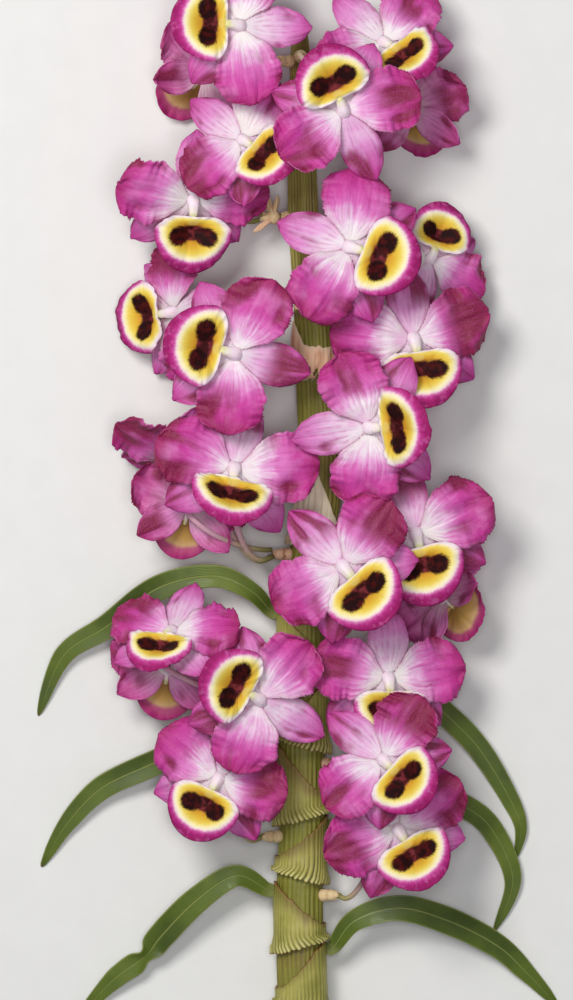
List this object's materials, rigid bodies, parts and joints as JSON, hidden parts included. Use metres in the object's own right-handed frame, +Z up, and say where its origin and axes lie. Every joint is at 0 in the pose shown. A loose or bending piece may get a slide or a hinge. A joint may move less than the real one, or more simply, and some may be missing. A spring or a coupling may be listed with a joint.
{
  "type": "dendrobium orchid stem",
  "caption": "Cut dendrobium orchid stem lying down: jointed cane with strap leaves on ribbed sheaths and magenta blooms with yellow and maroon lips in clusters along it.",
  "frame": {"origin": "middle of the outline, on the surface that the stem lies on", "axes": "+Y along the cane from its cut end to its tip, +Z up, the way the open blooms face, +X to the right when seen from above with the tip away"},
  "size_m": [0.2286, 0.4719, 0.0758],
  "materials": {
    "cane_green_brown": "smooth ribbed green-brown cane with brown papery rings",
    "dry_cream": "dry matt papery sheath",
    "leaf_green": "satin leathery leaf",
    "tepal_magenta": "velvety petal, white towards the base, with fine veins",
    "lip_yellow": "velvety lip with a maroon blotch, yellow and cream round it, and a magenta rim"
  },
  "bodies": {
    "root": {"cane": "cane_green_brown", "sheath_dry_middle": "dry_cream", "leaf_left_upper": "leaf_green", "leaf_left_middle": "leaf_green", "leaf_left_lower": "leaf_green", "leaf_right_upper": "leaf_green", "leaf_right_middle": "leaf_green", "leaf_right_lower": "leaf_green", "bloom_01": "tepal_magenta", "bloom_02": "tepal_magenta", "bloom_03": "tepal_magenta", "bloom_04": "tepal_magenta", "bloom_05": "tepal_magenta", "bloom_06": "tepal_magenta", "bloom_07": "tepal_magenta", "bloom_08": "tepal_magenta", "bloom_09": "tepal_magenta", "bloom_10": "tepal_magenta", "bloom_11": "tepal_magenta", "bloom_12": "tepal_magenta", "bloom_13": "tepal_magenta", "bloom_14": "tepal_magenta", "bloom_15": "tepal_magenta", "bloom_16": "tepal_magenta", "bloom_17": "tepal_magenta", "bloom_18": "tepal_magenta", "bloom_19": "tepal_magenta", "bloom_20": "tepal_magenta", "bloom_21": "tepal_magenta", "bloom_22": "tepal_magenta", "bloom_23": "tepal_magenta", "bloom_24": "tepal_magenta", "bloom_25": "tepal_magenta", "bloom_26": "tepal_magenta", "lip_01": "lip_yellow", "lip_02": "lip_yellow", "lip_03": "lip_yellow", "lip_04": "lip_yellow", "lip_05": "lip_yellow", "lip_06": "lip_yellow", "lip_07": "lip_yellow", "lip_08": "lip_yellow", "lip_09": "lip_yellow", "lip_10": "lip_yellow", "lip_11": "lip_yellow", "lip_12": "lip_yellow", "lip_13": "lip_yellow", "lip_14": "lip_yellow", "lip_15": "lip_yellow", "lip_16": "lip_yellow", "lip_17": "lip_yellow", "lip_18": "lip_yellow", "lip_19": "lip_yellow", "lip_20": "lip_yellow", "lip_21": "lip_yellow", "lip_22": "lip_yellow", "lip_23": "lip_yellow", "lip_24": "lip_yellow", "lip_25": "lip_yellow", "lip_26": "lip_yellow"}
  },
  "joints": []
}
